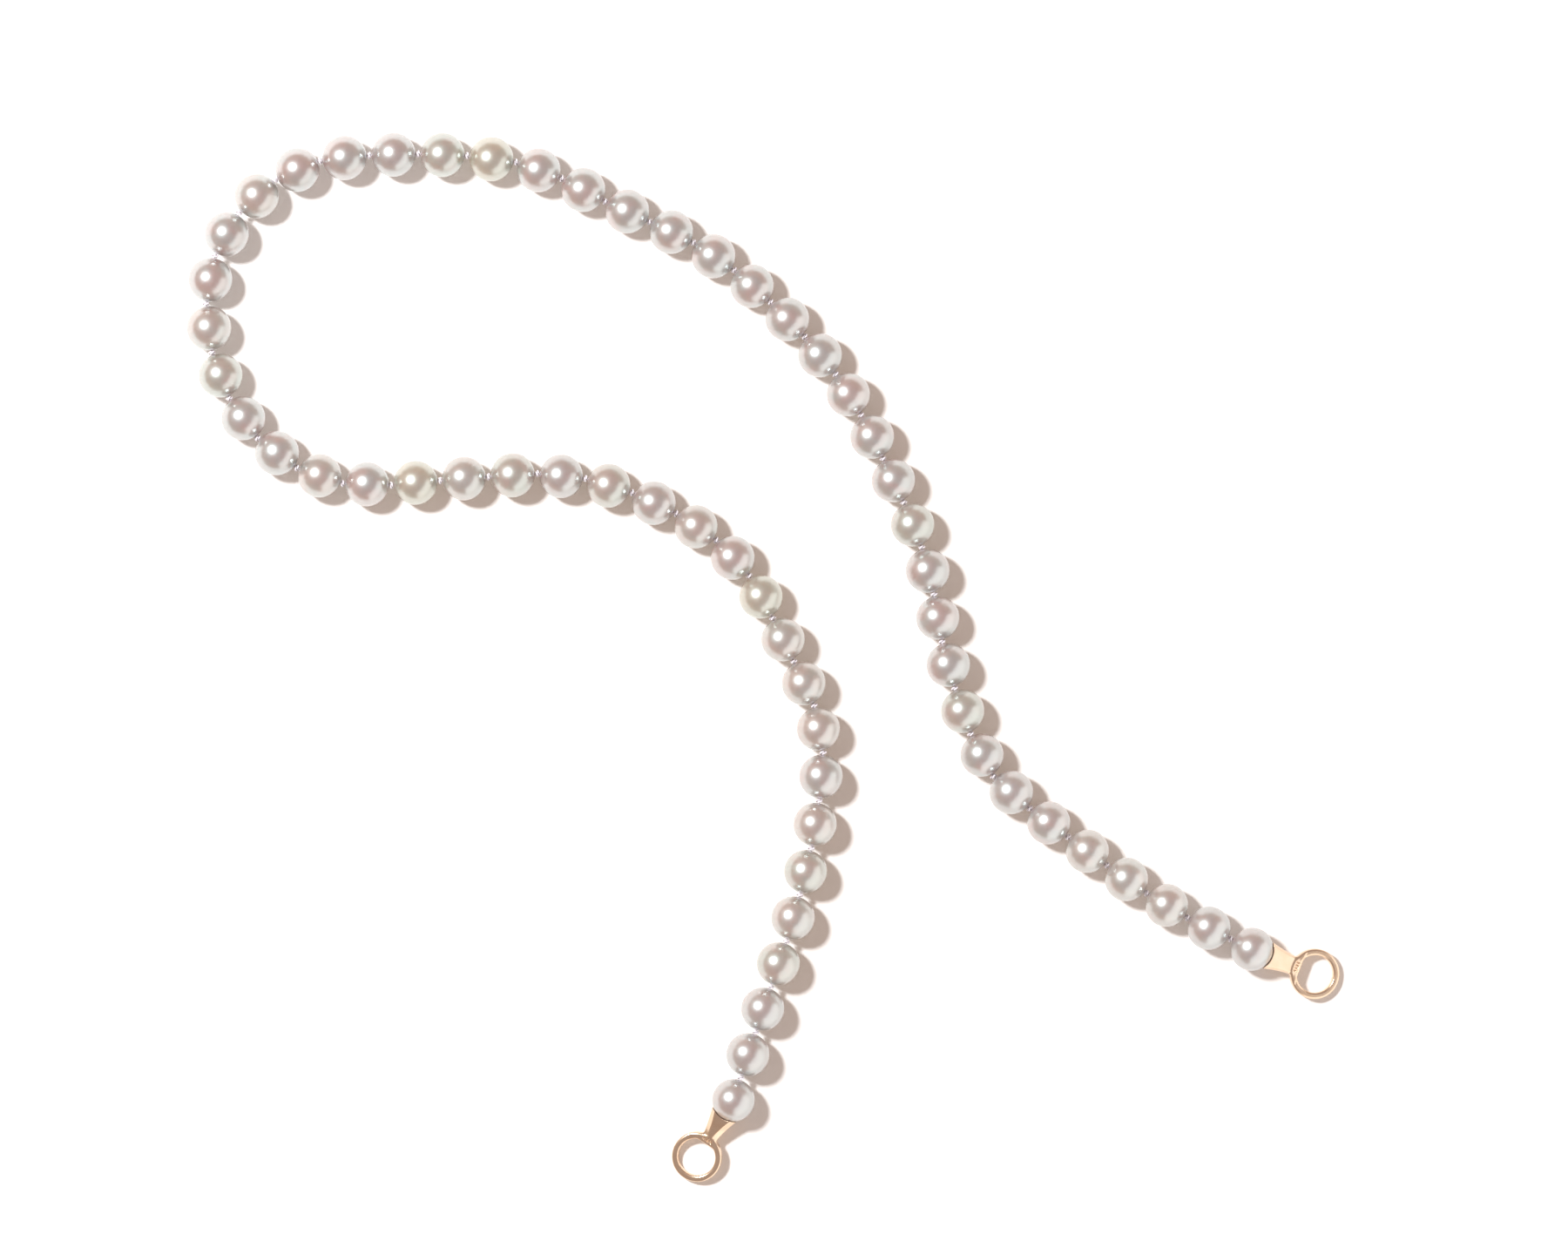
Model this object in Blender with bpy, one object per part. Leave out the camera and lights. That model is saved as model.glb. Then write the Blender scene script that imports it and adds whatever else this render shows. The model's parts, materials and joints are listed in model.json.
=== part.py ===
"""A hand-knotted pearl necklace with an eye fitting on each end, lying open on a table.

The strand is 58 drilled pearls on one silk thread with a knot after every pearl, so each pearl's
solid carries the stretch of silk and the knot that follow it. The knot is a ball centred on the
point about which the next pearl turns, and it sits in the next pearl's drill mouth. At either end
a cast gold fitting seats on the last pearl: a dished cup, a faceted neck and a round eye that a
clasp hooks into. Metres, +Z up, the origin on the table under the middle of the necklace.
"""

import math

import bmesh
import bpy
from mathutils import Matrix, Vector

# Strand
PEARL_COUNT = 58
MIDDLE_PEARL_DIAMETER = 0.00715
END_PEARL_DIAMETER = 0.00695
MATCHING_SPREAD = 0.00005  # how far a pearl's diameter may stray from its place in the graduation
KNOT_GAP = 0.00076  # from pearl to pearl, along the thread
KNOT_DIAMETER = 0.00110
KNOT_CLEARANCE = 0.00012  # between the knot and the drill mouth that it sits in

# End fittings
EYE_HOLE_DIAMETER = 0.00606
EYE_BAND_WIDTH = 0.00102
EYE_THICKNESS = 0.00140
EYE_EDGE = 0.00030  # bevel round each edge of the eye's band, if the band is wide enough
EYE_FLAT_RISE = 0.00035  # how far the neck's flat end stands into the round hole
NECK_LENGTH = 0.00430  # from the cup's mouth to the eye's outer edge
CUP_WIDTH = 0.00450
CUP_HEIGHT = 0.00420
CUP_FACET = 0.00085  # legs of the facets along the cup's four corners
SEAT_CLEARANCE = 0.00008  # between the dish and the pearl
THREAD_BORE_DIAMETER = 0.00080
THREAD_BORE_DEPTH = 0.00160
RIGHT_WAIST_WIDTH = 0.00300
LOWER_WAIST_WIDTH = 0.00235
WAIST_HEIGHT = 0.00150

# How the fittings lie: bearing from the last pearl to the eye, and roll about that line, in degrees
RIGHT_BEARING = -21.7
RIGHT_ROLL = -2.0
LOWER_BEARING = -122.7
LOWER_ROLL = 5.0

# The line that the strand lies along, from its right end over the top and back to its lower end.
# It is scaled to the length of the strand.
ROUTE = [
    (0.0781, -0.0455),
    (0.0644, -0.0386),
    (0.0517, -0.0298),
    (0.0395, -0.0205),
    (0.0343, -0.0140),
    (0.0290, 0.0011),
    (0.0258, 0.0169),
    (0.0197, 0.0316),
    (0.0122, 0.0455),
    (0.0022, 0.0570),
    (-0.0097, 0.0668),
    (-0.0237, 0.0735),
    (-0.0378, 0.0802),
    (-0.0530, 0.0820),
    (-0.0688, 0.0814),
    (-0.0763, 0.0793),
    (-0.0826, 0.0747),
    (-0.0872, 0.0682),
    (-0.0895, 0.0607),
    (-0.0892, 0.0529),
    (-0.0872, 0.0455),
    (-0.0832, 0.0386),
    (-0.0776, 0.0331),
    (-0.0706, 0.0300),
    (-0.0630, 0.0288),
    (-0.0472, 0.0301),
    (-0.0318, 0.0305),
    (-0.0172, 0.0259),
    (-0.0046, 0.0171),
    (0.0032, 0.0034),
    (0.0090, -0.0107),
    (0.0080, -0.0260),
    (0.0044, -0.0410),
    (-0.0005, -0.0554),
    (-0.0049, -0.0692),
]

# Facets
PEARL_SIDES = 12
PEARL_BANDS = 6
EYE_SIDES = 32
SEAT_SIDES = 24

GOLDEN_ANGLE = math.pi * (3 - math.sqrt(5))
UP = Vector((0, 0, 1))


# ---------------------------------------------------------------- layout


def pearl_diameters():
    """Diameters from the right end to the lower end: largest in the middle, each a little off its step."""
    middle = (PEARL_COUNT - 1) / 2
    found = []
    for index in range(PEARL_COUNT):
        along = abs(index - middle) / middle
        step = MIDDLE_PEARL_DIAMETER + (END_PEARL_DIAMETER - MIDDLE_PEARL_DIAMETER) * along
        found.append(step + MATCHING_SPREAD * math.sin(index * GOLDEN_ANGLE))
    return found


def smooth_line(points, steps):
    """Points of a Catmull-Rom curve through the given points, with the given steps between two."""
    first = 2 * points[0] - points[1]
    last = 2 * points[-1] - points[-2]
    padded = [first, *points, last]
    line = []
    for before, start, end, after in zip(padded, padded[1:], padded[2:], padded[3:]):
        for step in range(steps):
            t = step / steps
            cubic = -before + 3 * start - 3 * end + after
            square = 2 * before - 5 * start + 4 * end - after
            line.append(start + 0.5 * t * (end - before + t * (square + t * cubic)))
    return [*line, points[-1]]


class Line:
    """A polyline measured by the length along it, which runs on straight past both of its ends."""

    def __init__(self, points):
        self.points = points
        self.lengths = [0.0]
        for start, end in zip(points, points[1:]):
            self.lengths.append(self.lengths[-1] + (end - start).length)
        self.length = self.lengths[-1]

    def at(self, distance):
        low, high = 0, len(self.points) - 1
        while high - low > 1:
            middle = (low + high) // 2
            if self.lengths[middle] <= distance:
                low = middle
            else:
                high = middle
        start, end = self.points[low], self.points[high]
        share = (distance - self.lengths[low]) / (self.lengths[high] - self.lengths[low])
        return start + share * (end - start)

    def after(self, distance, chord):
        """The distance along the line of the point that is a chord away from the one at distance."""
        start, reached = self.at(distance), distance + chord
        for _ in range(12):
            reached += chord - (self.at(reached) - start).length
        return reached


def joint_points(diameters):
    """The points between pearls, with one more past either end. Pearls sit midway between two."""
    pitches = [diameter + KNOT_GAP for diameter in diameters]
    route = Line(smooth_line([Vector((x, y, 0)) for x, y in ROUTE], 12))
    strand = sum(pitches) - pitches[0] / 2 - pitches[-1] / 2
    scale = strand / route.length
    line = Line([scale * point for point in route.points])
    distance = -pitches[0] / 2
    points = [line.at(distance)]
    for pitch in pitches:
        distance = line.after(distance, pitch)
        points.append(line.at(distance))
    radii = [diameter / 2 for diameter in diameters]
    heights = [radii[0], *[(a + b) / 2 for a, b in zip(radii, radii[1:])], radii[-1]]
    return [Vector((point.x, point.y, height)) for point, height in zip(points, heights)]


def axes_at(origin, direction, roll=0.0):
    """A frame with +X along direction and +Z as near up as that allows, rolled about +X."""
    x = direction.normalized()
    y = UP.cross(x).normalized()
    frame = Matrix((x, y, x.cross(y))).transposed().to_4x4()
    return Matrix.Translation(origin) @ frame @ Matrix.Rotation(roll, 4, "X")


# ---------------------------------------------------------------- meshes


def turned_mesh(name, profile, sides, axis="X"):
    """A closed solid turned about an axis. The profile is (along, radius), from end to end, with
    radius 0 at both ends, or a closed loop that stays clear of the axis."""
    shape = bmesh.new()
    turns = [2 * math.pi * side / sides for side in range(sides)]
    rings = []
    for along, radius in profile:
        angles = turns if radius else [0.0]
        ring = []
        for angle in angles:
            across, height = radius * math.cos(angle), radius * math.sin(angle)
            place = (along, across, height) if axis == "X" else (across, height, along)
            ring.append(shape.verts.new(place))
        rings.append(ring)
    closed = all(len(ring) > 1 for ring in rings)
    pairs = list(zip(rings, rings[1:])) + ([(rings[-1], rings[0])] if closed else [])
    for first, second in pairs:
        for side in range(sides):
            after = (side + 1) % sides
            corners = [first[side % len(first)], first[after % len(first)]]
            corners += [second[after % len(second)], second[side % len(second)]]
            shape.faces.new(list(dict.fromkeys(corners)))
    return finished_mesh(name, shape)


def finished_mesh(name, shape):
    """A mesh from a bmesh, with its faces turned outwards."""
    bmesh.ops.recalc_face_normals(shape, faces=shape.faces)
    mesh = bpy.data.meshes.new(name)
    shape.to_mesh(mesh)
    shape.free()
    return mesh


def meeting_of(radius, distance, other_radius):
    """(along, radius) of the ring where a ball meets another ball that is a distance along X."""
    along = (radius**2 + distance**2 - other_radius**2) / (2 * distance)
    return along, math.sqrt(radius**2 - along**2)


def pearl_profile(diameter, with_knot):
    """(along, radius) of a pearl about its centre: a drill mouth at -X, and the next knot or
    another drill mouth at +X."""
    radius = diameter / 2
    centre = radius + KNOT_GAP / 2
    knot = KNOT_DIAMETER / 2
    rim, mouth = meeting_of(radius, centre, knot + KNOT_CLEARANCE)
    floor = centre - knot - KNOT_CLEARANCE
    bands = [math.pi * (band / PEARL_BANDS - 0.5) for band in range(1, PEARL_BANDS)]
    profile = [(-floor, 0.0), (-rim, mouth)]
    profile += [(radius * math.sin(band), radius * math.cos(band)) for band in bands]
    if not with_knot:
        return [*profile, (rim, mouth), (floor, 0.0)]
    half = knot * math.sqrt(0.5)
    profile += [meeting_of(radius, centre, knot), (centre, knot)]
    return [*profile, (centre + half, half), (centre + knot, 0.0)]


def lofted_mesh(name, sections):
    """A closed solid through octagonal sections, each (along, half width, half height, corner)."""
    shape = bmesh.new()
    rings = []
    for along, width, height, corner in sections:
        outline = [
            (width, height - corner),
            (width - corner, height),
            (corner - width, height),
            (-width, height - corner),
            (-width, corner - height),
            (corner - width, -height),
            (width - corner, -height),
            (width, corner - height),
        ]
        rings.append([shape.verts.new((along, y, z)) for y, z in outline])
    for first, second in zip(rings, rings[1:]):
        for side in range(len(first)):
            after = (side + 1) % len(first)
            shape.faces.new((first[side], first[after], second[after], second[side]))
    shape.faces.new(rings[0])
    shape.faces.new(rings[-1])
    return finished_mesh(name, shape)


# ---------------------------------------------------------------- objects


def finish_material(name, colour, roughness, metallic=0.0):
    material = bpy.data.materials.new(name)
    material.use_nodes = True
    shader = material.node_tree.nodes["Principled BSDF"]
    shader.inputs["Base Color"].default_value = (*colour, 1.0)
    shader.inputs["Roughness"].default_value = roughness
    shader.inputs["Metallic"].default_value = metallic
    return material


def place_object(name, mesh, frame, material=None):
    thing = bpy.data.objects.new(name, mesh)
    bpy.context.scene.collection.objects.link(thing)
    thing.matrix_basis = frame
    if material:
        mesh.materials.append(material)
        mesh.shade_smooth()
        mesh.set_sharp_from_angle(angle=math.radians(35))
    return thing


def make_child(child, parent, parent_frame):
    """Parents child where it stands, so its location and rotation stay in the necklace's frame."""
    child.parent = parent
    child.matrix_parent_inverse = parent_frame.inverted()


def cut_with(thing, cutter, operation):
    cutter.hide_render = True
    cutter.display_type = "WIRE"
    modifier = thing.modifiers.new(cutter.name, "BOOLEAN")
    modifier.operation = operation
    modifier.object = cutter


def make_pearls(points, diameters, material):
    """One object a pearl, with its origin on the knot that joins it towards the middle pearl."""
    root = PEARL_COUNT // 2 - 1
    frames, pearls = [], []
    for index, diameter in enumerate(diameters):
        start, end = points[index], points[index + 1]
        pivot = (start + end) / 2
        if index < root:
            pivot = end
        elif index > root:
            pivot = start
        frame = axes_at(pivot, end - start)
        mesh = turned_mesh(
            f"pearl_{index + 1:02d}", pearl_profile(diameter, index < PEARL_COUNT - 1), PEARL_SIDES
        )
        centre = frame.inverted() @ ((start + end) / 2)
        mesh.transform(Matrix.Translation(centre))
        pearls.append(place_object(mesh.name, mesh, frame, material))
        frames.append(frame)
    for index, pearl in enumerate(pearls):
        if index != root:
            inner = index + 1 if index < root else index - 1
            make_child(pearl, pearls[inner], frames[inner])
    return pearls, frames


def eye_outer_radius():
    return EYE_HOLE_DIAMETER / 2 + EYE_BAND_WIDTH


def eye_edge():
    return min(EYE_EDGE, 0.4 * EYE_BAND_WIDTH, 0.4 * EYE_THICKNESS)


def neck_sections(pearl_radius, waist_width):
    """Sections of a fitting's cup and neck, along its axis from the pearl's centre."""
    mouth, eye = fitting_stations(pearl_radius)
    hole = EYE_HOLE_DIAMETER / 2
    flat = hole - EYE_FLAT_RISE
    reach = math.sqrt(hole**2 - flat**2)
    edge = eye_edge()
    return [
        (mouth - CUP_FACET, CUP_WIDTH / 2, CUP_HEIGHT / 2, CUP_FACET),
        (mouth + NECK_LENGTH * 0.10, CUP_WIDTH * 0.49, CUP_HEIGHT * 0.48, CUP_FACET),
        (
            mouth + NECK_LENGTH * 0.55,
            CUP_WIDTH * 0.22 + waist_width * 0.29,
            CUP_HEIGHT * 0.20 + WAIST_HEIGHT * 0.32,
            CUP_FACET * 0.75,
        ),
        (eye - eye_outer_radius(), waist_width / 2, WAIST_HEIGHT * 0.56, CUP_FACET * 0.45),
        (eye - flat, reach + edge, EYE_THICKNESS * 0.46, edge),
    ]


def fitting_stations(pearl_radius):
    """How far the cup's mouth and the eye's centre lie from the pearl's centre."""
    seat = pearl_radius + SEAT_CLEARANCE
    mouth = math.sqrt(seat**2 - (CUP_WIDTH / 2) ** 2)
    return mouth, mouth + NECK_LENGTH + eye_outer_radius()


def eye_profile():
    """(height, radius) of the eye's band, as a closed loop."""
    inner, outer = EYE_HOLE_DIAMETER / 2, eye_outer_radius()
    edge = eye_edge()
    half, low = EYE_THICKNESS / 2, EYE_THICKNESS / 2 - edge
    return [
        (-low, inner),
        (low, inner),
        (half, inner + edge),
        (half, outer - edge),
        (low, outer),
        (-low, outer),
        (-half, outer - edge),
        (-half, inner + edge),
    ]


def fitting_frame(pearl_centre, eye_distance, bearing, roll):
    """The fitting's frame, drooping from the pearl's centre until the eye touches the table."""
    heading = math.radians(bearing)
    rim = [
        Vector((eye_distance + radius * math.cos(turn), radius * math.sin(turn), height))
        for height, radius in eye_profile()
        for turn in [2 * math.pi * side / EYE_SIDES for side in range(EYE_SIDES)]
    ]
    low, high = 0.0, math.radians(45)
    for _ in range(40):
        droop = (low + high) / 2
        fall = Vector((math.cos(heading), math.sin(heading), -math.tan(droop)))
        frame = axes_at(pearl_centre, fall, math.radians(roll))
        if min((frame @ point).z for point in rim) > 0:
            low = droop
        else:
            high = droop
    return frame


def make_fitting(name, pearl_centre, pearl_diameter, bearing, roll, waist_width, material):
    """An eye with a faceted neck and a dished cup, cast in one piece, about the pearl's centre."""
    radius = pearl_diameter / 2
    mouth, eye = fitting_stations(radius)
    frame = fitting_frame(pearl_centre, eye, bearing, roll)
    band = turned_mesh(name, eye_profile(), EYE_SIDES, axis="Z")
    band.transform(Matrix.Translation((eye, 0, 0)))
    fitting = place_object(name, band, frame, material)

    neck = lofted_mesh(name + "_neck", neck_sections(radius, waist_width))
    cut_with(fitting, place_object(neck.name, neck, frame), "UNION")

    seat = radius + SEAT_CLEARANCE
    bands = [math.pi * (step / 12 - 0.5) for step in range(1, 12)]
    ball = [(-seat, 0.0), *[(seat * math.sin(b), seat * math.cos(b)) for b in bands], (seat, 0.0)]
    dish = turned_mesh(name + "_dish", ball, SEAT_SIDES)
    cut_with(fitting, place_object(dish.name, dish, frame), "DIFFERENCE")

    bore_end = seat + THREAD_BORE_DEPTH
    bore_radius = THREAD_BORE_DIAMETER / 2
    drill = [(radius / 2, 0.0), (radius / 2, bore_radius), (bore_end, bore_radius), (bore_end, 0.0)]
    bore = turned_mesh(name + "_bore", drill, PEARL_SIDES)
    cut_with(fitting, place_object(bore.name, bore, frame), "DIFFERENCE")
    return fitting, frame


def centre_on_table(points, diameters):
    """The points moved so that the middle of the necklace's outline stands over the origin."""
    reach = []
    for start, end, diameter in zip(points, points[1:], diameters):
        centre = (start + end) / 2
        reach += [(centre, diameter / 2)]
    for centre, bearing, diameter in [
        (reach[0][0], RIGHT_BEARING, diameters[0]),
        (reach[-1][0], LOWER_BEARING, diameters[-1]),
    ]:
        heading = math.radians(bearing)
        eye = fitting_stations(diameter / 2)[1]
        way = Vector((math.cos(heading), math.sin(heading), 0))
        reach.append((centre + eye * way, eye_outer_radius()))
    low = [min(centre[axis] - radius for centre, radius in reach) for axis in (0, 1)]
    high = [max(centre[axis] + radius for centre, radius in reach) for axis in (0, 1)]
    middle = Vector(((low[0] + high[0]) / 2, (low[1] + high[1]) / 2, 0))
    return [point - middle for point in points]


def build():
    """Makes every object, and returns what the joints are worked out from."""
    for thing in list(bpy.data.objects):
        bpy.data.objects.remove(thing)

    pearl = finish_material("pearl", (0.86, 0.80, 0.76), 0.22)
    gold = finish_material("rose_gold", (0.86, 0.62, 0.42), 0.16, metallic=1.0)

    diameters = pearl_diameters()
    points = centre_on_table(joint_points(diameters), diameters)
    pearls, frames = make_pearls(points, diameters, pearl)

    ends = {}
    for name, index, bearing, roll, waist in [
        ("end_fitting_right", 0, RIGHT_BEARING, RIGHT_ROLL, RIGHT_WAIST_WIDTH),
        ("end_fitting_lower", -1, LOWER_BEARING, LOWER_ROLL, LOWER_WAIST_WIDTH),
    ]:
        centre = (points[index] + points[index + 1 if index == 0 else index - 1]) / 2
        diameter = diameters[index]
        fitting, frame = make_fitting(name, centre, diameter, bearing, roll, waist, gold)
        make_child(fitting, pearls[index], frames[index])
        ends[name] = frame
    return points, diameters, ends


layout = build()
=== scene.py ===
# A hand-knotted pearl necklace laid out on a pale table: fine pearls, the silk with its knots,
# and the cast gold eye at each end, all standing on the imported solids.
import json
import math

import bmesh
import bpy
import numpy
from mathutils import Matrix, Vector, noise


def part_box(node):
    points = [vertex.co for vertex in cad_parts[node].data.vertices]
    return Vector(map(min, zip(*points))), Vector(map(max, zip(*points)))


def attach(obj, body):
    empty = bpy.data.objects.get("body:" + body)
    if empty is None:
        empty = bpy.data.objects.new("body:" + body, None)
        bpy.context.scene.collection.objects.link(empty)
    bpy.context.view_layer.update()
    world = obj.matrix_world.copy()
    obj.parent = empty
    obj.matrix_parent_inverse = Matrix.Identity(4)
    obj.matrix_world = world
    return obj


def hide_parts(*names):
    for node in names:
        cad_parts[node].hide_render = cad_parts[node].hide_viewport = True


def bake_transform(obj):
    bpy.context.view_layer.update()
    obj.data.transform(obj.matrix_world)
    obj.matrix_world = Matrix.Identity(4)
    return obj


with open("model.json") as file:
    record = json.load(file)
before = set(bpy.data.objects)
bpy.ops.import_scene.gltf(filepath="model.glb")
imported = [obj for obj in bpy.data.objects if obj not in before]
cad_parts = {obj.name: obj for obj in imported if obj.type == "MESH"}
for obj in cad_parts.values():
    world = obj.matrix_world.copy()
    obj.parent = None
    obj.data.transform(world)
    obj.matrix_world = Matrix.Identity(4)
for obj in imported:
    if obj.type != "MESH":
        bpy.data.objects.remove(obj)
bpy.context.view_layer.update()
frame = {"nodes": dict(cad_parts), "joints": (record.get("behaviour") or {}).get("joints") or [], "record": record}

goldenTurn = math.pi * (3 - math.sqrt(5))
up = Vector((0, 0, 1))


def addObject(name, mesh, material=None):
    thing = bpy.data.objects.new(name, mesh)
    bpy.context.scene.collection.objects.link(thing)
    if material:
        mesh.materials.append(material)
    return thing


def squareTo(direction):
    # two unit vectors at right angles to the direction, the first as near level as it can be
    across = up.cross(direction).normalized()
    return across, direction.cross(across)


picture = {
    "middle": (0.0032, 0.0050),  # point on the table that the camera looks straight down at
    "height": 1.60,
    "width": 0.2529,  # of the table that the frame takes in
}

studio = {
    "keyPlace": (-0.508, 0.325, 0.915),  # small soft lamp, up to the left
    "keySize": 0.15,
    "keyPower": 13.0,
    "cardPlace": (0.1966, -0.1377, 0.14),  # white card standing on the table to the lower right
    "cardSize": (0.66, 0.28),
    "cardPower": 0.54,
    "ceiling": (0.40, 0.330, 0.310),  # the room overhead, and its darker walls near the horizon
    "walls": (0.54, 0.435, 0.360),
    "backdrop": (0.93, 0.93, 0.93),
}


def addCamera():
    data = bpy.data.cameras.new("tableCamera")
    data.sensor_width = 36
    data.lens = data.sensor_width * picture["height"] / picture["width"]
    camera = bpy.data.objects.new("tableCamera", data)
    camera.location = (*picture["middle"], picture["height"])
    bpy.context.scene.collection.objects.link(camera)
    bpy.context.scene.camera = camera


def addLamp(name, place, target, size, power, shape):
    data = bpy.data.lights.new(name, "AREA")
    data.shape = shape
    data.size = size[0]
    data.size_y = size[-1]
    data.energy = power
    lamp = bpy.data.objects.new(name, data)
    lamp.location = place
    lamp.rotation_euler = (Vector(target) - Vector(place)).to_track_quat("-Z", "Y").to_euler()
    lamp.visible_camera = False
    bpy.context.scene.collection.objects.link(lamp)
    return lamp


def addRoom():
    # the room is dim for the light that reaches the necklace, and pale behind it
    world = bpy.data.worlds.new("room")
    world.use_nodes = True
    bpy.context.scene.world = world
    nodes, links = world.node_tree.nodes, world.node_tree.links
    nodes.clear()
    out = nodes.new("ShaderNodeOutputWorld")
    mix = nodes.new("ShaderNodeMixShader")
    path = nodes.new("ShaderNodeLightPath")
    shown, glow = nodes.new("ShaderNodeBackground"), nodes.new("ShaderNodeBackground")
    shown.inputs["Color"].default_value = (*studio["backdrop"], 1)
    where = nodes.new("ShaderNodeTexCoord")
    height = nodes.new("ShaderNodeSeparateXYZ")
    ramp = nodes.new("ShaderNodeValToRGB")
    low, high = ramp.color_ramp.elements
    low.position, high.position = 0.12, 0.75
    low.color, high.color = (*studio["walls"], 1), (*studio["ceiling"], 1)
    links.new(where.outputs["Generated"], height.inputs[0])
    links.new(height.outputs["Z"], ramp.inputs[0])
    links.new(ramp.outputs[0], glow.inputs["Color"])
    links.new(path.outputs["Is Camera Ray"], mix.inputs[0])
    links.new(glow.outputs[0], mix.inputs[1])
    links.new(shown.outputs[0], mix.inputs[2])
    links.new(mix.outputs[0], out.inputs[0])


addCamera()
addLamp("keyLamp", studio["keyPlace"], (0, 0, 0), (studio["keySize"],), studio["keyPower"], "DISK")
level = (0, 0, studio["cardPlace"][2])
card = addLamp(
    "bounceCard", studio["cardPlace"], level, studio["cardSize"], studio["cardPower"], "RECTANGLE"
)
addRoom()
bpy.context.scene.view_settings.view_transform = "Standard"
print("room, camera and lamps in place")


class Tree:
    # short calls for making and joining nodes
    def __init__(self, tree):
        self.tree = tree

    def node(self, kind, **settings):
        made = self.tree.nodes.new(kind if kind.startswith("Node") else "ShaderNode" + kind)
        for name, value in settings.items():
            setattr(made, name, value)
        return made

    def put(self, node, **values):
        for name, value in values.items():
            socket = node.inputs[name.replace("_", " ")]
            if isinstance(value, bpy.types.NodeSocket):
                self.tree.links.new(value, socket)
            else:
                socket.default_value = value
        return node

    def math(self, operation, first, second=0.0, third=0.0):
        made = self.node("Math", operation=operation)
        for socket, value in zip(made.inputs, (first, second, third)):
            if isinstance(value, bpy.types.NodeSocket):
                self.tree.links.new(value, socket)
            else:
                socket.default_value = value
        return made.outputs[0]

    def mix(self, share, first, second, blend="MIX"):
        made = self.node("Mix", data_type="RGBA", blend_type=blend)
        for socket, value in zip((made.inputs[0], made.inputs[6], made.inputs[7]), (share, first, second)):
            if isinstance(value, bpy.types.NodeSocket):
                self.tree.links.new(value, socket)
            else:
                socket.default_value = value
        return made.outputs[2]

    def ramp(self, value, *stops):
        made = self.node("ValToRGB")
        self.tree.links.new(value, made.inputs[0])
        ends = made.color_ramp.elements
        while len(ends) < len(stops):
            ends.new(0.5)
        for end, (place, colour) in zip(ends, stops):
            end.position = place
            end.color = colour if len(colour) == 4 else (*colour, 1)
        return made.outputs[0]

    def noise(self, where, scale, detail=2.0, roughness=0.5, distortion=0.0):
        made = self.node("TexNoise")
        self.tree.links.new(where, made.inputs["Vector"])
        return self.put(
            made, Scale=scale, Detail=detail, Roughness=roughness, Distortion=distortion
        ).outputs[0]


def newMaterial(name):
    material = bpy.data.materials.new(name)
    material.use_nodes = True
    return material, Tree(material.node_tree), material.node_tree.nodes["Principled BSDF"]


def newGroup(name, inputs, outputs):
    # a node group with named sockets, each (name, kind, default)
    group = bpy.data.node_groups.new(name, "ShaderNodeTree")
    for label, kind, default in inputs:
        socket = group.interface.new_socket(label, in_out="INPUT", socket_type="NodeSocket" + kind)
        if default is not None:
            socket.default_value = default
    for label, kind in outputs:
        group.interface.new_socket(label, in_out="OUTPUT", socket_type="NodeSocket" + kind)
    tree = Tree(group)
    return group, tree, tree.node("NodeGroupInput"), tree.node("NodeGroupOutput")


def placeGroup(tree, group, **values):
    made = tree.node("Group", node_tree=group)
    return tree.put(made, **values)


nacre = {
    "strand": "ssbbbrsrgrrrgrrrrrrrrrrrcgsrrbrrbgrrbrcbgsgrbrcbbbrbgbgsss",  # overtone of each pearl
    "glossLevel": 1.0,
    "index": 3.0,
    "coat": 1.0,
    "coatIndex": 2.0,
    "coatRoughness": 0.23,
    "coatTint": (0.945, 0.955, 0.915),
    "glow": 0.40,  # how far the body lets light through
    "glowReach": 0.0007,
    "satin": 0.305,  # roughness under the coat, with its cloudy and grainy parts
    "satinCloud": 0.04,
    "satinGrain": 0.02,
    "driftScale": 260.0,  # of the slow change from one tint to the other
    "swell": 0.0000080,  # how far the skin rises and falls
    "pitDepth": 0.000012,
    "pitScale": 620.0,
    "pitTint": (0.93, 0.84, 0.72),
}


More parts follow.
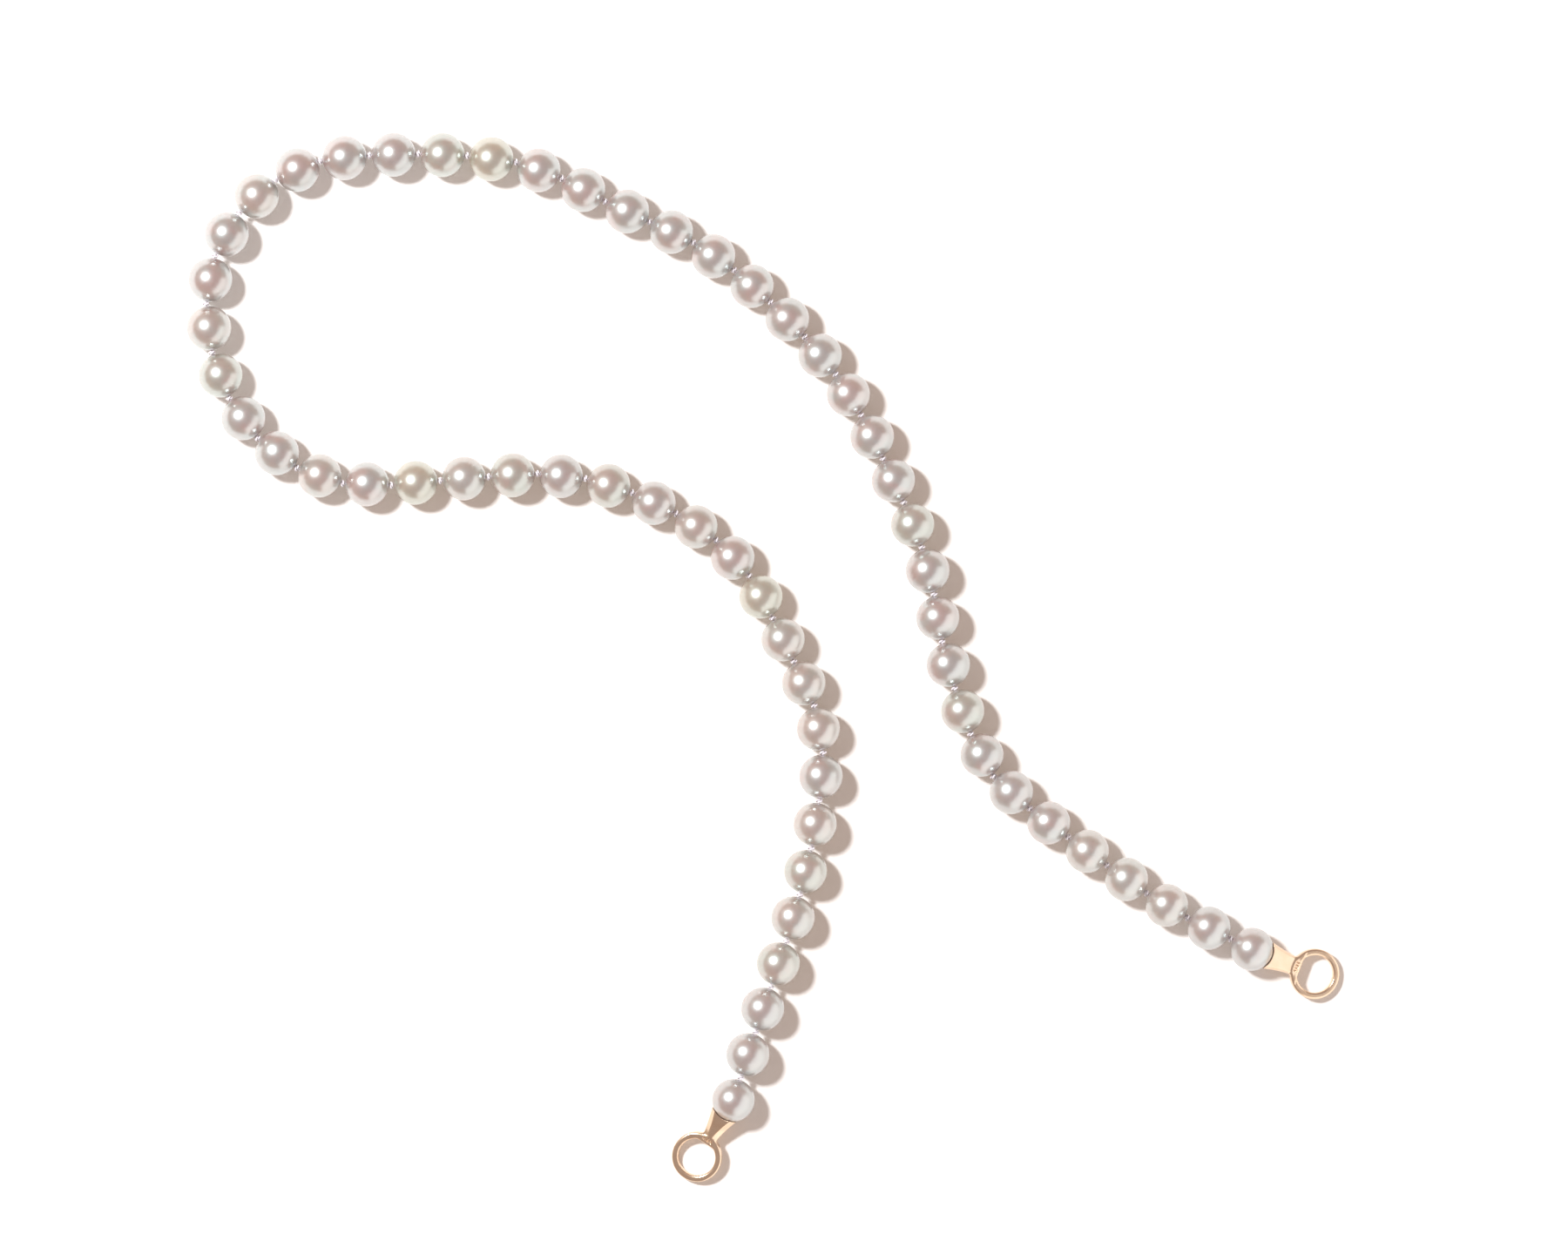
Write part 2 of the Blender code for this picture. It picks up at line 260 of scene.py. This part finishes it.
def makeNacreGroup():
    # slow drifts of tint, a fine satin grain in the gloss, and a few pin-sized pits
    group, tree, given, out = newGroup(
        "nacreSkin",
        [
            ("Body", "Color", (0.45, 0.24, 0.225, 1)),
            ("Drift", "Color", (0.37, 0.28, 0.275, 1)),
        ],
        [("Color", "Color"), ("Roughness", "Float"), ("Height", "Float")],
    )
    where = tree.node("TexCoord").outputs["Object"]
    drift = tree.noise(where, nacre["driftScale"], 1.5, 0.45, 0.6)
    share = tree.ramp(drift, (0.38, (0, 0, 0)), (0.62, (1, 1, 1)))
    colour = tree.mix(share, given.outputs["Body"], given.outputs["Drift"])

    cloud = tree.noise(where, 1500.0, 3.0, 0.6)
    grain = tree.noise(where, 5200.0, 3.0, 0.65)
    spots = tree.node("TexVoronoi", feature="F1")
    tree.put(spots, Vector=where, Scale=nacre["pitScale"], Randomness=1.0)
    pit = tree.ramp(spots.outputs["Distance"], (0.0, (1, 1, 1)), (0.075, (0, 0, 0)))
    rare = tree.ramp(tree.noise(where, 420.0, 1.0), (0.64, (0, 0, 0)), (0.70, (1, 1, 1)))
    pit = tree.math("MULTIPLY", pit, rare)

    spotTint = tree.mix(tree.math("MULTIPLY", pit, 0.5), colour, (*nacre["pitTint"], 1))
    mottle = tree.ramp(cloud, (0.3, (0.955, 0.95, 0.95)), (0.7, (1, 1, 1)))
    tree.put(out, Color=tree.mix(1.0, spotTint, mottle, "MULTIPLY"))

    rough = tree.math("MULTIPLY_ADD", cloud, nacre["satinCloud"], nacre["satin"])
    rough = tree.math("MULTIPLY_ADD", grain, nacre["satinGrain"], rough)
    tree.put(out, Roughness=tree.math("MULTIPLY_ADD", pit, 0.2, rough))

    swell = tree.math("MULTIPLY", tree.noise(where, 330.0, 1.0), nacre["swell"])
    tree.put(out, Height=tree.math("MULTIPLY_ADD", pit, -nacre["pitDepth"], swell))
    return group


# every pearl's own overtone, from the right end to the lower end:
# rose, blush, silver, green, cream
overtones = {
    "r": {
        "name": "rose",
        "body": (0.45, 0.240, 0.225),
        "drift": (0.37, 0.280, 0.275),
        "gloss": (0.82, 0.95, 1.0),
    },
    "b": {
        "name": "blush",
        "body": (0.44, 0.265, 0.240),
        "drift": (0.38, 0.295, 0.280),
        "gloss": (0.84, 0.95, 0.98),
    },
    "s": {
        "name": "silver",
        "body": (0.40, 0.280, 0.280),
        "drift": (0.43, 0.255, 0.245),
        "gloss": (0.80, 0.95, 1.0),
    },
    "g": {
        "name": "green",
        "body": (0.38, 0.285, 0.250),
        "drift": (0.44, 0.245, 0.225),
        "gloss": (0.80, 0.96, 0.97),
    },
    "c": {
        "name": "cream",
        "body": (0.45, 0.300, 0.230),
        "drift": (0.39, 0.290, 0.240),
        "gloss": (0.83, 0.96, 0.93),
    },
}


def makeNacre(group, tone):
    material, tree, shader = newMaterial("nacre" + tone["name"].capitalize())
    skin = placeGroup(tree, group, Body=(*tone["body"], 1), Drift=(*tone["drift"], 1))
    bump = tree.put(tree.node("Bump"), Height=skin.outputs["Height"], Distance=1.0)
    tree.put(
        shader,
        Base_Color=skin.outputs["Color"],
        Roughness=skin.outputs["Roughness"],
        Normal=bump.outputs[0],
        IOR=nacre["index"],
        Specular_IOR_Level=nacre["glossLevel"],
        Specular_Tint=(*tone["gloss"], 1),
        Coat_Weight=nacre["coat"],
        Coat_Roughness=nacre["coatRoughness"],
        Coat_IOR=nacre["coatIndex"],
        Coat_Tint=(*nacre["coatTint"], 1),
        Subsurface_Weight=nacre["glow"],
        Subsurface_Radius=(1.0, 0.55, 0.45),
        Subsurface_Scale=nacre["glowReach"],
    )
    return material


def makeSilk():
    material, tree, shader = newMaterial("silkThread")
    where = tree.node("TexCoord").outputs["Object"]
    fibre = tree.noise(where, 9000.0, 3.0, 0.6, 0.4)
    tone = tree.ramp(fibre, (0.3, (0.79, 0.73, 0.81)), (0.7, (0.95, 0.91, 0.96)))
    height = tree.math("MULTIPLY", fibre, 0.00002)
    bump = tree.put(tree.node("Bump"), Height=height, Distance=1.0)
    tree.put(
        shader,
        Base_Color=tone,
        Roughness=tree.math("MULTIPLY_ADD", fibre, 0.2, 0.35),
        Normal=bump.outputs[0],
        Sheen_Weight=0.5,
        Sheen_Roughness=0.4,
        Subsurface_Weight=0.3,
        Subsurface_Radius=(1.0, 0.9, 0.9),
        Subsurface_Scale=0.0003,
    )
    return material


gold = {
    "tone": (0.89, 0.705, 0.530),
    "redTone": (0.87, 0.660, 0.475),
    "roughness": 0.17,
}


def makeGold():
    # cast and hand-polished: a faint grain, soft ripples, and thin wiping scratches
    material, tree, shader = newMaterial("roseGold")
    where = tree.node("TexCoord").outputs["Object"]
    stretch = tree.node("Mapping")
    tree.put(stretch, Vector=where, Scale=(1.0, 0.12, 1.0), Rotation=(0, 0, 0.6))
    scratch = tree.noise(stretch.outputs[0], 6500.0, 3.0, 0.7)
    grain = tree.noise(where, 7000.0, 2.0, 0.6)
    ripple = tree.noise(where, 620.0, 1.0, 0.4)
    tone = tree.ramp(ripple, (0.3, gold["tone"]), (0.7, gold["redTone"]))
    height = tree.math("MULTIPLY", ripple, 0.000010)
    height = tree.math("MULTIPLY_ADD", grain, 0.0000008, height)
    height = tree.math("MULTIPLY_ADD", scratch, 0.0000008, height)
    bump = tree.put(tree.node("Bump"), Height=height, Distance=1.0)
    tree.put(
        shader,
        Base_Color=tone,
        Metallic=1.0,
        Roughness=tree.math("MULTIPLY_ADD", scratch, 0.10, gold["roughness"]),
        Normal=bump.outputs[0],
    )
    return material


tableTop = {
    "darkest": (0.865, 0.865, 0.865),
    "palest": (0.885, 0.885, 0.885),
    "toothScale": 900.0,
    "toothHeight": 0.00001,
    "roughness": 0.8,
    "halfWidth": 6,
    # painted light: the table glows by itself at each distance from the middle, faint and warm near the middle to
    # lighten the necklace's shadows and the pearls' reflections of them, and stronger further out so the table
    # stays pale beyond the small lamp's reach
    "fill": (
        (0.05, (0.09, 0.055, 0.030)),
        (0.12, (0.15, 0.135, 0.125)),
        (0.30, (0.38, 0.39, 0.41)),
        (0.60, (0.50, 0.52, 0.54)),
        (1.00, (0.58, 0.60, 0.62)),
    ),
}


def makeTable():
    material, tree, shader = newMaterial("paleTable")
    where = tree.node("TexCoord").outputs["Object"]
    tooth = tree.noise(where, tableTop["toothScale"], 4.0, 0.6)
    tone = tree.ramp(tooth, (0.3, tableTop["darkest"]), (0.7, tableTop["palest"]))
    height = tree.math("MULTIPLY", tooth, tableTop["toothHeight"])
    bump = tree.put(tree.node("Bump"), Height=height, Distance=1.0)
    tree.put(shader, Base_Color=tone, Roughness=tableTop["roughness"], Normal=bump.outputs[0])
    # painted light: the table's own glow, set by distance from the middle, lightens the shadows under the necklace
    # and keeps the far table pale
    away = tree.node("VectorMath", operation="LENGTH")
    tree.put(away, Vector=where)
    tree.put(shader, Emission_Color=tree.ramp(away.outputs["Value"], *tableTop["fill"]))
    shader.inputs["Emission Strength"].default_value = 1.0
    material.cycles.emission_sampling = "NONE"
    shader.inputs["Specular IOR Level"].default_value = 0.2
    return material


nacreGroup = makeNacreGroup()
nacreOf = {letter: makeNacre(nacreGroup, tone) for letter, tone in overtones.items()}
silk = makeSilk()
roseGold = makeGold()
print("nacre, silk and gold mixed")

edge = tableTop["halfWidth"]
corners = [(-edge, -edge, 0), (edge, -edge, 0), (edge, edge, 0), (-edge, edge, 0)]
tableMesh = bpy.data.meshes.new("table")
tableMesh.from_pydata(corners, [], [(0, 1, 2, 3)])
table = addObject("table", tableMesh, makeTable())
table.location.z = -0.00002

# the card lights the necklace only, so that it leaves no edge on the table
tableOnly = bpy.data.collections.new("tableOnly")
tableOnly.objects.link(table)
tableOnly.collection_objects[0].light_linking.link_state = "EXCLUDE"
card.light_linking.receiver_collection = tableOnly


# where each pearl and knot is
joints = {joint["name"]: joint for joint in frame["joints"]}
pearlNames = sorted(name for name in frame["nodes"] if name.startswith("pearl_"))
pearlCount = len(pearlNames)


def jointPlace(name):
    return Vector(joints[name]["pos_m"])


knots = [jointPlace(f"knot_{number:02d}_bend") for number in range(1, pearlCount)]
firstCentre = jointPlace("end_fitting_right_swivel")
lastCentre = jointPlace("end_fitting_lower_swivel")
stops = [2 * firstCentre - knots[0], *knots, 2 * lastCentre - knots[-1]]
centres = [(before + after) / 2 for before, after in zip(stops, stops[1:])]
ways = [(after - before).normalized() for before, after in zip(stops, stops[1:])]
radii = []
for name in pearlNames:
    low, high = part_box(name)
    radii.append((high.z - low.z) / 2)


pearl = {
    "sides": 72,
    "bands": 34,
    "drillRadius": 0.00032,
    "drillLip": 0.00006,  # rounding of the drill hole's edge
    "unevenness": 0.0035,  # how far a pearl is out of round, as a share of its radius
}


def pearlMesh(name, radius, seed):
    # turned about the thread: half of the drill hole, its rounded lip, the ball, and the same again
    hole, lip = pearl["drillRadius"], pearl["drillLip"]
    start = math.asin((hole + lip) / radius)
    profile = [(-0.3 * radius, hole), (-0.8 * radius, hole)]
    edge = -radius * math.cos(start) + lip
    for step in range(3):
        turn = math.pi / 2 * (step + 1) / 4
        profile.append((edge - lip * math.sin(turn), hole + lip * (1 - math.cos(turn))))
    for band in range(pearl["bands"] + 1):
        angle = start + (math.pi - 2 * start) * band / pearl["bands"]
        profile.append((-radius * math.cos(angle), radius * math.sin(angle)))
    profile += [(-along, reach) for along, reach in reversed(profile[:5])]

    shape = bmesh.new()
    shift = Vector((seed * 1.7, seed * 0.9, -seed * 1.3))
    rings = []
    for along, reach in profile:
        ring = []
        for side in range(pearl["sides"]):
            turn = 2 * math.pi * side / pearl["sides"]
            point = Vector((along, reach * math.cos(turn), reach * math.sin(turn)))
            if point.length > 0.9 * radius:
                swell = noise.noise(point / radius * 0.9 + shift)
                point *= 1 + pearl["unevenness"] * (swell - 0.5)
            ring.append(shape.verts.new(point))
        rings.append(ring)
    for first, second in zip(rings, rings[1:] + rings[:1]):
        for side in range(pearl["sides"]):
            after = (side + 1) % pearl["sides"]
            shape.faces.new((first[side], first[after], second[after], second[side]))
    bmesh.ops.recalc_face_normals(shape, faces=shape.faces)
    mesh = bpy.data.meshes.new(name)
    shape.to_mesh(mesh)
    shape.free()
    mesh.shade_smooth()
    return mesh


for index, name in enumerate(pearlNames):
    mesh = pearlMesh(name + "_nacre", radii[index], index)
    across, above = squareTo(ways[index])
    spin = Matrix.Rotation(index * goldenTurn, 4, "X")
    frameOf = Matrix((ways[index], across, above)).transposed().to_4x4()
    mesh.transform(Matrix.Translation(centres[index]) @ frameOf @ spin)
    thing = addObject(mesh.name, mesh, nacreOf[nacre["strand"][index]])
    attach(thing, name)
    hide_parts(name)
print(pearlCount, "pearls turned")


thread = {
    "radius": 0.000150,
    "sides": 10,
    "plyDepth": 0.17,  # how deep the groove between the two plies is, as a share of the radius
    "plyPitch": 0.0011,
    "knotRadius": 0.00049,  # from the strand's line to the outer turn's own line
    "knotHalfLength": 0.00016,
    "knotStretch": 0.00029,  # where the thread comes back to the strand's line
    "stepLength": 0.00007,
}


def evenLine(points, step):
    # a rounded curve through the points, with even steps
    spots = [Vector(point) for point in points]
    fine = []
    for before, first, second, after in zip([spots[0], *spots], spots, spots[1:], [*spots[2:], spots[-1]]):
        for part in range(8):
            share = part / 8
            fine.append(
                0.5
                * (
                    2 * first
                    + (second - before) * share
                    + (2 * before - 5 * first + 4 * second - after) * share**2
                    + (3 * first - before - 3 * second + after) * share**3
                )
            )
    fine.append(spots[-1])
    lengths = [0.0]
    for one, other in zip(fine, fine[1:]):
        lengths.append(lengths[-1] + (other - one).length)
    count = max(2, round(lengths[-1] / step))
    line, index = [], 0
    for number in range(count + 1):
        wanted = lengths[-1] * number / count
        while index < len(fine) - 2 and lengths[index + 1] < wanted:
            index += 1
        share = (wanted - lengths[index]) / max(1e-12, lengths[index + 1] - lengths[index])
        line.append(fine[index].lerp(fine[index + 1], min(1.0, share)))
    return line


def threadMesh(name, line, phase=0.0):
    # a two-ply thread swept along the line, closed at both ends
    shape = bmesh.new()
    rings = []
    travelled = 0.0
    side = (line[1] - line[0]).orthogonal().normalized()
    for index, spot in enumerate(line):
        before, after = line[max(0, index - 1)], line[min(len(line) - 1, index + 1)]
        along = (after - before).normalized()
        side = (side - along * side.dot(along)).normalized()
        other = along.cross(side)
        if index:
            travelled += (spot - line[index - 1]).length
        twist = 2 * math.pi * travelled / thread["plyPitch"] + phase
        ring = []
        for number in range(thread["sides"]):
            turn = 2 * math.pi * number / thread["sides"]
            reach = thread["radius"] * (1 - thread["plyDepth"] * math.sin(turn - twist) ** 2)
            ring.append(shape.verts.new(spot + (side * math.cos(turn) + other * math.sin(turn)) * reach))
        rings.append(ring)
    for first, second in zip(rings, rings[1:]):
        for number in range(thread["sides"]):
            following = (number + 1) % thread["sides"]
            shape.faces.new((first[number], first[following], second[following], second[number]))
    shape.faces.new(list(reversed(rings[0])))
    shape.faces.new(rings[-1])
    bmesh.ops.recalc_face_normals(shape, faces=shape.faces)
    mesh = bpy.data.meshes.new(name)
    shape.to_mesh(mesh)
    shape.free()
    mesh.shade_smooth()
    return mesh


def knotLine(spread):
    # an overhand knot pulled tight on the strand's line, as points about its middle
    reach, half, stretch = thread["knotRadius"], thread["knotHalfLength"], thread["knotStretch"]
    line = []
    steps = 30
    for number in range(steps + 1):
        turn = math.pi / 3 + 0.28 + (2 * math.pi - 0.56) * number / steps
        out = reach * (2 + math.cos(3 * turn)) / 3 * spread
        line.append((half * math.sin(3 * turn), out * math.cos(2 * turn), out * math.sin(2 * turn)))
    return [(stretch, 0, 0), *line, (-stretch, 0, 0)]


for index, spot in enumerate(knots):
    first, second = centres[index], centres[index + 1]
    name = f"silk_{index + 1:02d}"
    along = (ways[index] + ways[index + 1]).normalized()
    across, above = squareTo(along)
    turnAt = Matrix((along, across, above)).transposed().to_4x4()
    spin = Matrix.Rotation(index * goldenTurn, 4, "X")
    uneven = 1 + 0.06 * noise.noise(Vector((index * 3.7, 0.4, 0.9)))
    inner = [Matrix.Translation(spot) @ turnAt @ spin @ Vector(point) for point in knotLine(uneven)]
    route = [second, second.lerp(spot, 0.45), second.lerp(spot, 0.82), *inner]
    route += [first.lerp(spot, 0.82), first.lerp(spot, 0.45), first]
    mesh = threadMesh(name, evenLine(route, thread["stepLength"]), index * goldenTurn)
    piece = addObject(name, mesh, silk)
    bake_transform(piece)
print(len(knots), "knots tied")


fitting = {
    "seatClearance": 0.00008,
    "eyeHole": 0.00303,
    "eyeBand": 0.00102,
    "eyeHalfThickness": 0.00070,
    "eyeRounding": 0.00030,
    "eyeFlat": 0.00268,  # from the eye's centre to the flat end of its hole
    "neckLength": 0.00430,
    "cupWidth": 0.00450,
    "boreRadius": 0.00040,
    "boreDepth": 0.00160,
    "fillet": 0.00045,
    "tickCount": 4,
    "tickPitch": 0.00046,
    "tickHalfLength": 0.00022,
    "tickRadius": 0.00010,
    "tickFloor": 0.00056,  # height of a tick's bottom over the eye's middle
    "edge": 0.00013,  # rounding of the facets' edges
    "step": 0.00008,  # of the grid that the surface is drawn from
}

# half widths and half heights at the cup, half way along the neck, and at the waist
necks = {
    "end_fitting_right": {
        "width": (0.00225, 0.00178, 0.00150),
        "height": (0.00160, 0.00122, 0.00078),
        "topWidth": (0.00175, 0.00135, 0.00112),
        "sideHeight": (0.00085, 0.00062, 0.00045),
    },
    "end_fitting_lower": {
        "width": (0.00225, 0.00165, 0.00122),
        "height": (0.00160, 0.00125, 0.00082),
        "topWidth": (0.00155, 0.00085, 0.00030),
        "sideHeight": (0.00070, 0.00050, 0.00035),
    },
}


def softer(first, second, width):
    # the smaller of two distances, with the corner between them filled by a fillet
    share = numpy.clip(0.5 + 0.5 * (second - first) / width, 0, 1)
    return second + (first - second) * share - width * share * (1 - share)


def harder(first, second, width):
    return -softer(-first, -second, width)


def fittingField(x, y, z, radius, neck):
    # how far a place is outside the fitting, in its own frame: the pearl's centre is the origin,
    # the eye lies along x, and z is up out of the eye's face
    seat = radius + fitting["seatClearance"]
    mouth = math.sqrt(seat**2 - (fitting["cupWidth"] / 2) ** 2)
    outer = fitting["eyeHole"] + fitting["eyeBand"]
    eye = mouth + fitting["neckLength"] + outer
    tall, wide = numpy.abs(z), numpy.abs(y)

    middle = fitting["eyeHole"] + fitting["eyeBand"] / 2
    out = numpy.hypot(x - eye, y)
    rounding = fitting["eyeRounding"]
    across = numpy.abs(out - middle) - fitting["eyeBand"] / 2 + rounding
    over = tall - fitting["eyeHalfThickness"] + rounding
    ring = numpy.hypot(numpy.maximum(across, 0), numpy.maximum(over, 0))
    ring = ring + numpy.minimum(numpy.maximum(across, over), 0) - rounding

    share = numpy.clip((x - mouth) / fitting["neckLength"], -0.3, 1.2)
    sizes = {}
    for key, (first, second, third) in neck.items():
        bend = 2 * first - 4 * second + 2 * third
        sizes[key] = first + share * (third - first - bend) + share**2 * bend
    bevelY = sizes["height"] - sizes["sideHeight"]
    bevelZ = sizes["width"] - sizes["topWidth"]
    bevel = (wide - sizes["topWidth"]) * bevelY + (tall - sizes["height"]) * bevelZ
    bevel = bevel / numpy.hypot(bevelY, bevelZ)
    body = harder(wide - sizes["width"], tall - sizes["height"], fitting["edge"])
    body = harder(body, bevel, fitting["edge"])
    body = harder(body, x - (eye - fitting["eyeFlat"] - 0.00020), 0.00030)
    body = harder(body, mouth - 0.00105 - x, 0.00006)

    plate = harder(out - outer + 0.00022, x - (eye - fitting["eyeFlat"]), 0.00018)
    plate = harder(plate, tall - fitting["eyeHalfThickness"] * 0.93, 0.00022)
    whole = softer(softer(ring, plate, 0.00022), body, fitting["fillet"])

    ball = numpy.sqrt(x**2 + y**2 + z**2)
    whole = harder(whole, seat - ball, 0.00012)
    bore = numpy.maximum(numpy.hypot(y, z) - fitting["boreRadius"], x - seat - fitting["boreDepth"])
    whole = harder(whole, -bore, 0.00006)
    lane = eye - fitting["eyeFlat"] - 0.00070
    for tick in range(fitting["tickCount"]):
        aside = y - (tick - (fitting["tickCount"] - 1) / 2) * fitting["tickPitch"]
        length = numpy.maximum(numpy.abs(x - lane) - fitting["tickHalfLength"], 0)
        groove = numpy.maximum(numpy.hypot(aside, length) - fitting["tickRadius"], fitting["tickFloor"] - z)
        whole = harder(whole, -groove, 0.00005)
    return whole


def surfaceOf(field, low, high, step):
    # corners and four-sided faces of the field's zero surface
    lines = [numpy.arange(start, end + step, step) for start, end in zip(low, high)]
    places = numpy.stack(numpy.meshgrid(*lines, indexing="ij"), axis=-1)
    values = field(places[..., 0], places[..., 1], places[..., 2])
    inside = values < 0
    cells = tuple(size - 1 for size in inside.shape)
    total = numpy.zeros((*cells, 3))
    count = numpy.zeros(cells)

    def corner(grid, offset):
        return grid[tuple(slice(o, o + size) for o, size in zip(offset, cells))]

    for axis in range(3):
        others = [number for number in range(3) if number != axis]
        for first in (0, 1):
            for second in (0, 1):
                start = [0, 0, 0]
                start[others[0]], start[others[1]] = first, second
                end = list(start)
                end[axis] = 1
                a, b = corner(values, start), corner(values, end)
                crossed = (a < 0) != (b < 0)
                share = numpy.where(crossed, a / numpy.where(crossed, a - b, 1), 0)[..., None]
                spot = corner(places, start) * (1 - share) + corner(places, end) * share
                total += spot * crossed[..., None]
                count += crossed
    used = count > 0
    number = numpy.full(cells, -1)
    number[used] = numpy.arange(used.sum())
    corners = total[used] / count[used][:, None]

    faces = []
    for axis in range(3):
        others = [(axis + 1) % 3, (axis + 2) % 3]
        before = numpy.moveaxis(inside, [axis, *others], [0, 1, 2])
        numbers = numpy.moveaxis(number, [axis, *others], [0, 1, 2])
        start, end = before[:-1, 1:-1, 1:-1], before[1:, 1:-1, 1:-1]
        around = (
            numbers[:, :-1, :-1],
            numbers[:, 1:, :-1],
            numbers[:, 1:, 1:],
            numbers[:, :-1, 1:],
        )
        for leaving, order in ((start & ~end, (0, 1, 2, 3)), (~start & end, (3, 2, 1, 0))):
            faces.append(numpy.stack([around[place][leaving] for place in order], axis=-1))
    faces = numpy.concatenate(faces)

    tiny = step * 0.02
    for _ in range(4):
        here = field(*corners.T)
        slope = numpy.zeros_like(corners)
        for axis in range(3):
            shift = numpy.zeros(3)
            shift[axis] = tiny
            slope[:, axis] = (field(*(corners + shift).T) - field(*(corners - shift).T)) / (2 * tiny)
        size = numpy.maximum((slope**2).sum(1), 0.25)
        corners = corners - numpy.clip(here / size, -step / 2, step / 2)[:, None] * slope
    return corners, faces


def makeFitting(name, mount, pearlRadius):
    joint = joints[name + "_swivel"]
    along = Vector(joint["axis"]).normalized()
    above = Vector(mount["axis"]).normalized()
    place = Matrix((along, above.cross(along), above)).transposed().to_4x4()
    place = Matrix.Translation(Vector(joint["pos_m"])) @ place
    outer = fitting["eyeHole"] + fitting["eyeBand"]
    reach = pearlRadius + fitting["neckLength"] + 2 * outer + 0.0004
    low = (pearlRadius * 0.4, -outer - 0.0003, -0.0021)
    high = (reach, outer + 0.0003, 0.0021)
    corners, faces = surfaceOf(
        lambda x, y, z: fittingField(x, y, z, pearlRadius, necks[name]), low, high, fitting["step"]
    )
    mesh = bpy.data.meshes.new(name + "_gold")
    mesh.from_pydata(corners.tolist(), [], faces.tolist())
    mesh.validate()
    mesh.shade_smooth()
    mesh.transform(place)
    thing = addObject(mesh.name, mesh, roseGold)
    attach(thing, name)
    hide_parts(name)

    # the strand's last stretch of silk, glued into the cup's bore
    centre = place.translation
    last = centre + along * (pearlRadius + fitting["seatClearance"] + fitting["boreDepth"] * 0.95)
    first = centre.lerp(last, 0.2)
    line = evenLine([first, first.lerp(last, 0.5), last], 0.00012)
    end = addObject(name + "_thread", threadMesh(name + "_thread", line), silk)
    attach(end, name)


mounts = {mount["name"]: mount for mount in frame["record"]["mounts"]}
makeFitting("end_fitting_right", mounts["eye_face_right"], radii[0])
makeFitting("end_fitting_lower", mounts["eye_face_lower"], radii[-1])
print("end fittings cast")
